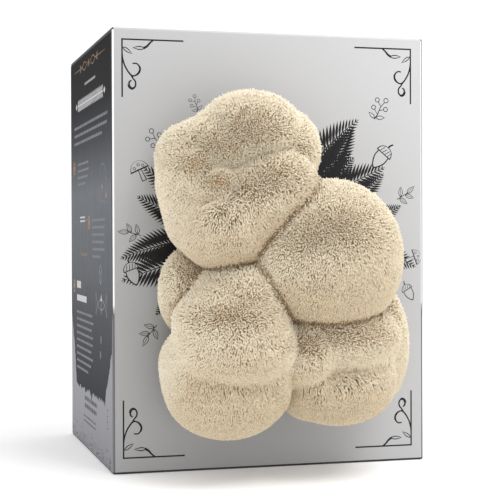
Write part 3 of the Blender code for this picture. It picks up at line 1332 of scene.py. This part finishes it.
def smooth_least(first: np.ndarray, second: np.ndarray, reach: float) -> np.ndarray:
    """Lesser of two distances, rounded where they are near each other.

    Args:
        first: The first distances.
        second: The second distances.
        reach: How near they are where the rounding starts.

    Returns:
        The rounded lesser distances.
    """
    share = np.clip(0.5 + 0.5 * (second - first) / reach, 0, 1)
    return second * (1 - share) + first * share - reach * share * (1 - share)


@dataclass(frozen=True)
class Lobe:
    """One lobe of the mushroom: lumps that run softly into each other, out to the tips of the spines."""

    name: str
    lumps: tuple[Lump, ...]
    softness: float

    def distance(self, points: np.ndarray) -> np.ndarray:
        """Distance of points from the lobe's outline, below 0 inside.

        Args:
            points: The points in millimetres.

        Returns:
            Their distances.
        """
        least = self.lumps[0].distance(points)
        for lump in self.lumps[1:]:
            least = smooth_least(least, lump.distance(points), self.softness)
        return least

    def normals(self, points: np.ndarray, distance: Any = None) -> np.ndarray:
        """Directions in which the distance grows fastest.

        Args:
            points: The points in millimetres.
            distance: The distance function, or None for the lobe's own.

        Returns:
            Unit vectors.
        """
        measure = distance or self.distance
        total = np.zeros_like(points)
        for corner in ((1, 1, 1), (1, -1, -1), (-1, 1, -1), (-1, -1, 1)):
            step = np.array(corner) * 0.05
            total += step * measure(points + step)[:, None]
        return total / (np.linalg.norm(total, axis=1, keepdims=True) + 1e-12)


def lobe(name: str, *sizes: tuple[float, ...], softness: float = 8.0) -> Lobe:
    """A lobe from six numbers a lump, its centre and its radii, and how softly the lumps run together."""
    return Lobe(name, tuple(Lump(size[:3], size[3:]) for size in sizes), softness)


def ball_mesh(lumps: Iterable[Lump], inset: float, voxel: float) -> tuple[np.ndarray, np.ndarray]:
    """Skin over a union of lumps, as triangles.

    Args:
        lumps: The lumps.
        inset: How far the skin lies inside their surfaces, in millimetres.
        voxel: Size of its faces in millimetres.

    Returns:
        The points in millimetres, and three point numbers a triangle.
    """
    shape = bmesh.new()
    for lump in lumps:
        size = Matrix.Diagonal((*(radius - inset for radius in lump.radii), 1))
        matrix = Matrix.Translation(lump.centre) @ size
        bmesh.ops.create_icosphere(shape, subdivisions=4, radius=1, matrix=matrix)
    mesh = bpy.data.meshes.new("skin")
    shape.to_mesh(mesh)
    shape.free()
    item = bpy.data.objects.new("skin", mesh)
    bpy.context.scene.collection.objects.link(item)
    remesh = item.modifiers.new("remesh", "REMESH")
    remesh.mode = "VOXEL"
    remesh.voxel_size = voxel
    evaluated = item.evaluated_get(bpy.context.evaluated_depsgraph_get())
    skin = evaluated.to_mesh()
    skin.calc_loop_triangles()
    points = np.zeros(len(skin.vertices) * 3)
    skin.vertices.foreach_get("co", points)
    triangles = np.zeros(len(skin.loop_triangles) * 3, dtype=np.int32)
    skin.loop_triangles.foreach_get("vertices", triangles)
    evaluated.to_mesh_clear()
    bpy.data.objects.remove(item)
    bpy.data.meshes.remove(mesh)
    return points.reshape(-1, 3), triangles.reshape(-1, 3)


@dataclass(frozen=True)
class FleshFinish:
    """Moist brown flesh between the roots of the spines."""

    dark: Colour = (0.48, 0.30, 0.13)
    light: Colour = (0.72, 0.51, 0.28)

    def material(self) -> bpy.types.Material:
        """Write the material."""
        recipe = Recipe("mushroom_flesh", 0.75)
        grain = recipe.noise(2.5, 4)
        recipe.bump(grain, 0.5)
        return recipe.colour(recipe.mix(grain, self.dark, self.light))


@dataclass(frozen=True)
class SpineFinish:
    """Soft spines, brown at their roots and cream at their tips; the browner roots partly stand for painted
    shade deep between them, and shaded spines take a darker ramp.
    """

    pale: tuple[tuple[float, Colour], ...] = (
        (0.0, (0.84, 0.62, 0.36)),
        (0.35, (0.92, 0.77, 0.53)),
        (0.80, (0.93, 0.825, 0.63)),
        (1.0, (1.0, 0.95, 0.81)),
    )
    # The darker ramp: browner spines, and painted shade on the undersides, the right sides and in the
    # creases.
    warm_and_shaded: tuple[tuple[float, Colour], ...] = (
        (0.0, (0.70, 0.48, 0.25)),
        (0.35, (0.75, 0.565, 0.34)),
        (0.80, (0.70, 0.56, 0.375)),
        (1.0, (0.89, 0.78, 0.585)),
    )
    # Darkest brown: mostly painted shade in the creases between lobes and under them.
    brown: Colour = (0.34, 0.21, 0.10)

    def material(self) -> bpy.types.Material:
        """Write the material."""
        recipe = Recipe("mushroom_spines", 0.72)
        along = recipe.attribute("along")
        brown_and_shade = recipe.attribute("brown_and_shade")
        pale, warm_and_shaded = recipe.ramp(along, self.pale), recipe.ramp(along, self.warm_and_shaded)
        # Painted shade: the higher the value, the more a spine takes the darker ramp and then the darkest
        # brown.
        tone = recipe.mix(brown_and_shade.step(0.0, 0.75), pale, warm_and_shaded)
        return recipe.colour(recipe.mix(brown_and_shade.step(0.75, 1.1), tone, self.brown))


@dataclass
class SpineCoat:
    """Spines that cover a lobe. Lengths in millimetres."""

    flesh_depth: float = 3.2
    spacing: float = 0.43
    thickness: float = 0.36
    evenness: float = 0.55
    even_softness: float = 40.0
    droop: float = 0.95
    bend: float = 0.20
    upright: tuple[float, float, float] = (140.0, 165.0, 0.75)
    length_spread: float = 0.09
    jitter: float = 0.06
    comb: float = 0.06
    comb_size: float = 8.0
    buried: float = 2.5
    wall_y: float = FRONT_Y_MM - 0.8
    sides: int = 3
    widest: float = 0.84
    most: int = 33000

    def roots(self, lobe_: Lobe, others: Sequence[Lobe], draw: np.random.Generator) -> np.ndarray:
        """Evenly scattered points on a lobe's flesh.

        Args:
            lobe_: The lobe.
            others: The lobes beside it.
            draw: The source of random numbers.

        Returns:
            The points.
        """
        points, triangles = ball_mesh(lobe_.lumps, self.flesh_depth, 3.0)
        a, b, c = (points[triangles[:, i]] for i in range(3))
        areas = np.linalg.norm(np.cross(b - a, c - a), axis=1) / 2
        count = int(areas.sum() * 3.2 / self.spacing ** 2)
        chosen = draw.choice(len(areas), count, p=areas / areas.sum())
        first, second = draw.random((2, count, 1))
        folded = first + second > 1
        first, second = np.where(folded, 1 - first, first), np.where(folded, 1 - second, second)
        found = a[chosen] + (b - a)[chosen] * first + (c - a)[chosen] * second
        for _ in range(3):
            found -= lobe_.normals(found) * (lobe_.distance(found) + self.flesh_depth)[:, None]
        free = found[:, 1] < self.wall_y - 1.5
        for other in others:
            free &= other.distance(found) > -self.flesh_depth - self.buried
        found = found[free]
        tree = KDTree(len(found))
        for number, point in enumerate(found):
            tree.insert(point, number)
        tree.balance()
        open_, kept = np.ones(len(found), dtype=bool), []
        for number in range(len(found)):
            if open_[number]:
                kept.append(number)
                for _, near, _ in tree.find_range(found[number], self.spacing):
                    open_[near] = False
        return found[kept]

    def combing(self, points: np.ndarray, draw: np.random.Generator) -> np.ndarray:
        """Directions that lean the same way over a tuft.

        Args:
            points: The roots.
            draw: The source of random numbers.

        Returns:
            A vector for each root, of about unit length.
        """
        waves = draw.normal(size=(14, 3)) * 2 * math.pi / self.comb_size / 1.7
        starts = draw.random(14) * 2 * math.pi
        leans = draw.normal(size=(14, 3)) / math.sqrt(7)
        return np.sin(points @ waves.T + starts) @ leans

    def grow(self, lobe_: Lobe, others: Sequence[Lobe], draw: np.random.Generator) -> dict[str, np.ndarray]:
        """Shape the spines of a lobe.

        Args:
            lobe_: The lobe.
            others: The lobes beside it.
            draw: The source of random numbers.

        Returns:
            Arrays by name: "points" holds the points of each spine, "brown_and_shade" how brown each is,
                painted shade included.
        """
        roots = self.roots(lobe_, others, draw)
        normals = lobe_.normals(roots)
        down = np.array((0, 0, -1.0))
        even = Lobe(lobe_.name, lobe_.lumps, self.even_softness).normals(roots)
        lean = normals * (1 - self.evenness) + even * self.evenness
        hanging = np.clip((0.75 - lean[:, 2:]) / 0.75, 0, 1)
        height = np.clip((roots[:, 2:] - self.upright[0]) / (self.upright[1] - self.upright[0]), 0, 1)
        hanging *= 1 - height * self.upright[2]
        lean += down * self.droop * hanging
        lean += self.combing(roots, draw) * self.comb + draw.normal(size=roots.shape) * self.jitter
        lean[:, 1] = np.minimum(lean[:, 1], 0.35)
        lean /= np.linalg.norm(lean, axis=1, keepdims=True)
        rise = np.clip((lean * normals).sum(axis=1), 0.55, 1.0)
        uneven = self.length_spread * (1.6 - hanging[:, 0])
        length = self.flesh_depth / rise * (1 + draw.normal(size=len(roots)) * uneven)
        tip = roots + lean * length[:, None]
        depth = np.full(len(roots), 99.0)
        for other in others:
            depth = np.minimum(depth, other.distance(tip))
        seen = depth > -self.buried
        roots, lean, length, depth, even = (value[seen] for value in (roots, lean, length, depth, even))
        # How deep each tip lies in a crease between lobes: it browns the spines there as painted shade and
        # makes their lengths ragged.
        crease = np.clip(1 - depth / 4, 0, 1)
        length = np.minimum(length, 7.5) * (1 + crease * draw.normal(size=len(roots)) * 0.22)
        bend = self.bend * hanging[seen]
        turn = lean * (1 - bend) + down * bend
        aside = np.cross(lean, draw.normal(size=lean.shape))
        aside /= np.linalg.norm(aside, axis=1, keepdims=True)
        across = np.cross(lean, aside)
        stout = self.thickness * (1 + draw.normal(size=len(roots)) * 0.12)
        reach = length[:, None]
        girth = roots + (lean * 0.75 + turn * 0.25) * reach * self.widest
        rings = [roots]
        for side in range(self.sides):
            angle = 2 * math.pi * side / self.sides
            rings.append(girth + (aside * math.cos(angle) + across * math.sin(angle)) * stout[:, None])
        rings.append(roots + (lean * 0.5 + turn * 0.5) * reach)
        points = np.stack(rings, axis=1)
        points[:, :, 1] = np.minimum(points[:, :, 1], self.wall_y)
        # Painted light: spines on the rims and facing up are paler, as a painted highlight, and higher ones
        # paler still; spines facing down or to the right are darker, as painted shade.
        painted_light = 0.55 * (1 - np.abs(even[:, 1])) + 0.38 * even[:, 2] + 0.9 * np.minimum(even[:, 2], 0)
        painted_light -= 0.35 * np.clip(even[:, 0], 0, 1)
        painted_light += 0.25 * height[seen][:, 0]
        # Brownness: a random spread of real tone, lowered by the painted light above, plus painted shade in
        # the creases between lobes.
        brown_and_shade = np.clip(0.21 - 0.5 * painted_light + draw.random(len(roots)) * 0.28 + crease ** 2 * 0.55, 0, 1)
        return {"points": points, "brown_and_shade": brown_and_shade}

    def faces(self, count: int) -> np.ndarray:
        """Triangles of a number of spines.

        Args:
            count: How many spines.

        Returns:
            Three point numbers a triangle.
        """
        sides = self.sides
        one = []
        for side in range(sides):
            a, b = 1 + side, 1 + (side + 1) % sides
            one += [(0, b, a), (a, b, sides + 1)]
        starts = np.arange(count)[:, None, None] * (sides + 2)
        return (np.array(one) + starts).reshape(-1, 3)

    def build(
        self, lobe_: Lobe, others: Sequence[Lobe], finish: bpy.types.Material, seed: int
    ) -> list[bpy.types.Object]:
        """Make the spines of a lobe.

        Args:
            lobe_: The lobe.
            others: The lobes beside it.
            finish: Their material.
            seed: The seed of their random numbers.

        Returns:
            The pieces, each with no more spines than the coat allows.
        """
        grown = self.grow(lobe_, others, np.random.default_rng(seed))
        order = np.argsort(grown["points"][:, -1, 2])
        parts = max(1, math.ceil(len(order) / self.most))
        pieces = []
        for number, chosen in enumerate(np.array_split(order, parts)):
            name = f"mushroom_spines_{lobe_.name}_{number + 1}"
            pieces.append(self.tuft(name, grown["points"][chosen], grown["brown_and_shade"][chosen], finish))
        return pieces

    def tuft(
        self, name: str, points: np.ndarray, brown_and_shade: np.ndarray, finish: bpy.types.Material
    ) -> bpy.types.Object:
        """Make one piece of spines.

        Args:
            name: Its name.
            points: The points of each spine in millimetres.
            brown_and_shade: How brown each spine is, painted shade included.
            finish: The material.

        Returns:
            The piece.
        """
        count, each = points.shape[:2]
        item = add_piece(name, points.reshape(-1, 3), self.faces(count), [finish])
        along = np.tile([0.0, *[self.widest] * self.sides, 1.0], count)
        brown_and_shade = np.repeat(brown_and_shade, each)
        for title, values in (("along", along), ("brown_and_shade", brown_and_shade)):
            item.data.attributes.new(title, "FLOAT", "POINT").data.foreach_set("value", values)
        corners = np.zeros(len(item.data.loops), dtype=np.int32)
        item.data.loops.foreach_get("vertex_index", corners)
        spread = np.stack((along[corners], brown_and_shade[corners]), axis=1) * 0.96 + 0.02
        item.data.uv_layers.new(name=BAKE_MAP).data.foreach_set("uv", spread.ravel())
        return item


@dataclass
class Mushroom:
    """The lion's mane that grows out of the window: soft lobes under hanging spines."""

    coat: SpineCoat = field(default_factory=SpineCoat)
    flesh_voxel: float = 2.4
    back_y: float = FRONT_Y_MM - 0.5
    stalk_radius: float = 38.0
    window: Point = (-5.0, 105.0)

    def lobes(self) -> list[Lobe]:
        """The lobes, each out to the tips of its spines."""
        return [
            lobe(
                "top",
                (-22.3, -112, 174.9, 25.2, 27, 18.5),
                (-37.1, -108, 166.0, 22.1, 25, 17.3),
                (-0.9, -101, 164.0, 17.2, 26, 21.7),
                (-51.0, -98, 162.0, 15.6, 22, 15.8),
                (-53.1, -98, 149.5, 13.6, 22, 22.4),
                (-50.6, -107, 155.1, 15.4, 23, 14.1),
                (-41.5, -109, 145.7, 15.5, 25, 12.7),
                (-11.6, -114, 145.2, 23.4, 28, 21.1),
                (-21.4, -114, 136.3, 23.2, 28, 23.5),
                (-38.0, -115, 124.5, 20.9, 28, 20.2),
                (-29.6, -112, 128.4, 23.1, 27, 25.5),
                (-47.2, -101, 133.5, 16.6, 22, 21.4),
                softness=4.5,
            ),
            lobe(
                "right",
                (17.5, -117, 110.9, 36.8, 37, 38.9),
                (0.9, -115, 106.5, 26.2, 34, 27.1),
                softness=10.0,
            ),
            lobe(
                "lower",
                (-28.7, -112, 89.5, 24.1, 31, 21.4),
                (-34.1, -117, 79.0, 28.4, 34, 20.2),
                (-31.4, -118, 67.3, 30.9, 34, 20.7),
                (-33.9, -108, 43.8, 30.2, 33, 23.0),
                (-16.4, -108, 52.7, 16.3, 29, 19.7),
                (-54.3, -102, 56.2, 11.5, 23, 18.3),
                (23.7, -111, 69.9, 32.6, 30, 19.2),
                (2.2, -112, 63.5, 17.0, 30, 18.8),
                (37.7, -105, 54.8, 17.1, 26, 18.5),
                (50.7, -98, 65.3, 14.2, 23, 30.4),
                (24.2, -108, 45.3, 29.0, 29, 19.8),
                (6.5, -105, 46.1, 11.0, 26, 15.9),
                softness=6.0,
            ),
            lobe(
                "left",
                (-48.1, -91, 92.4, 16.3, 20, 21.7),
                (-44.7, -92, 100.9, 14.3, 19, 15.5),
                softness=8.0,
            ),
            lobe("root", (-10, -90, 100, 40, 22, 58), (-28, -103, 101, 20, 24, 10)),
        ]

    def flesh(self, lobes: Sequence[Lobe], finish: bpy.types.Material) -> bpy.types.Object:
        """Make the body under the spines.

        Args:
            lobes: The lobes.
            finish: The material.

        Returns:
            The piece.
        """
        inset = self.coat.flesh_depth

        def union(points: np.ndarray) -> np.ndarray:
            """Distance from all the lobes together.

            Args:
                points: The points in millimetres.

            Returns:
                Their distances, below 0 inside.
            """
            least = lobes[0].distance(points)
            for other in lobes[1:]:
                least = smooth_least(least, other.distance(points), 1.6)
            return least

        points, triangles = ball_mesh([lump for one in lobes for lump in one.lumps], inset, self.flesh_voxel)
        for _ in range(3):
            points -= lobes[0].normals(points, union) * (union(points) + inset)[:, None] * 0.8
        points[:, 1] = np.minimum(points[:, 1], self.back_y)
        return add_piece("mushroom_flesh", points, triangles, [finish])

    def stalk(self, finish: bpy.types.Material) -> bpy.types.Object:
        """Make the stalk that runs back through the window into the block.

        Args:
            finish: The material.

        Returns:
            The piece.
        """
        back = self.back_y
        profile = [(back - 2, 1.0), (back + 1, 0.985), (back + 6, 0.99), (back + 11, 0.9)]
        steps = 48
        vertices, faces = [], []
        for y, share in profile:
            for x, z in arc(self.window, self.stalk_radius * share, 0, 360, steps)[:-1]:
                vertices.append((x, y, z))
        for ring in range(len(profile) - 1):
            for side in range(steps):
                a, b = ring * steps + side, ring * steps + (side + 1) % steps
                faces.append((b, a, a + steps, b + steps))
        faces.append(range((len(profile) - 1) * steps, len(profile) * steps))
        return add_piece("mushroom_stalk", np.array(vertices), faces, [finish])

    def build(self) -> None:
        """Make the mushroom."""
        lobes = self.lobes()
        flesh = FleshFinish().material()
        spines = SpineFinish().material()
        hand_over(self.flesh(lobes, flesh), "lions_mane")
        hand_over(self.stalk(flesh), "lions_mane")
        for number, one in enumerate(lobes):
            others = [other for other in lobes if other is not one]
            for piece in self.coat.build(one, others, spines, 11 + number):
                hand_over(piece, "lions_mane")


@dataclass
class Studio:
    """White sweep with one large soft light, and the camera at the photograph's angle. Lengths in metres."""

    camera_place: tuple[float, float, float] = (-0.19943, -0.75342, 0.12085)
    yaw: float = 15.424
    pitch: float = -0.539
    roll: float = -0.181
    lens: float = 96.91
    sensor: float = 36.0
    floor_size: float = 12.0
    sky: float = 0.95
    key_power: float = 16.0
    key_size: float = 1.0
    key_place: tuple[float, float, float] = (0.55, -0.75, 1.65)
    key_target: tuple[float, float, float] = (0.0, -0.08, 0.12)

    def camera(self) -> None:
        """Set up the camera."""
        data = bpy.data.cameras.new("camera")
        data.lens = self.lens
        data.sensor_width = self.sensor
        data.clip_end = 30
        yaw, pitch, roll = (math.radians(angle) for angle in (self.yaw, self.pitch, self.roll))
        ahead = Vector((math.sin(yaw) * math.cos(pitch), math.cos(yaw) * math.cos(pitch), math.sin(pitch)))
        level = Vector((math.cos(yaw), -math.sin(yaw), 0))
        above = level.cross(ahead)
        right = level * math.cos(roll) + above * math.sin(roll)
        up = above * math.cos(roll) - level * math.sin(roll)
        turn = Matrix((right, up, -ahead)).transposed().to_4x4()
        item = bpy.data.objects.new("camera", data)
        item.matrix_world = Matrix.Translation(self.camera_place) @ turn
        bpy.context.scene.collection.objects.link(item)
        bpy.context.scene.camera = item

    def sweep(self) -> None:
        """Lay the white floor."""
        half = self.floor_size / MM / 2
        recipe = Recipe("white_sweep", 0.9, Emission_Strength=0.14, Specular_IOR_Level=0.0)
        tone = recipe.noise(900, 2)
        recipe.feed(recipe.shader.inputs["Emission Color"], (1.0, 1.0, 1.0))
        finish = recipe.colour(recipe.mix(tone, (0.97, 0.97, 0.972), (0.99, 0.99, 0.99)))
        corners = np.array([(-half, -half, 0), (half, -half, 0), (half, half, 0), (-half, half, 0)])
        add_piece("floor", corners, [(0, 1, 2, 3)], [finish])

    def light(self) -> None:
        """Set up the key light and the white surroundings."""
        data = bpy.data.lights.new("key", "AREA")
        data.shape = "RECTANGLE"
        data.size = self.key_size
        data.size_y = self.key_size
        data.energy = self.key_power
        item = bpy.data.objects.new("key", data)
        item.location = self.key_place
        aim = Vector(self.key_target) - Vector(self.key_place)
        item.rotation_euler = aim.to_track_quat("-Z", "Y").to_euler()
        bpy.context.scene.collection.objects.link(item)
        world = bpy.data.worlds.new("white_surroundings")
        world.use_nodes = True
        tree = world.node_tree
        ground = tree.nodes["Background"]
        ground.inputs["Color"].default_value = (1, 1, 1, 1)
        ground.inputs["Strength"].default_value = self.sky
        seen = tree.nodes.new("ShaderNodeBackground")
        seen.inputs["Color"].default_value = (1, 1, 1, 1)
        seen.inputs["Strength"].default_value = 1.1
        ray = tree.nodes.new("ShaderNodeLightPath")
        choice = tree.nodes.new("ShaderNodeMixShader")
        tree.links.new(ray.outputs["Is Camera Ray"], choice.inputs[0])
        tree.links.new(ground.outputs[0], choice.inputs[1])
        tree.links.new(seen.outputs[0], choice.inputs[2])
        tree.links.new(choice.outputs[0], tree.nodes["World Output"].inputs["Surface"])
        bpy.context.scene.world = world

    def build(self) -> None:
        """Set up the whole studio."""
        bpy.context.scene.view_settings.view_transform = "Standard"
        self.camera()
        self.sweep()
        self.light()


def main() -> None:
    """Dress the frame and set up the studio."""
    logging.basicConfig(level=logging.INFO, format="%(name)s %(message)s")
    Carton().build()
    GrowBlock().build()
    Mushroom().build()
    Studio().build()


if __name__ == "__main__":
    main()
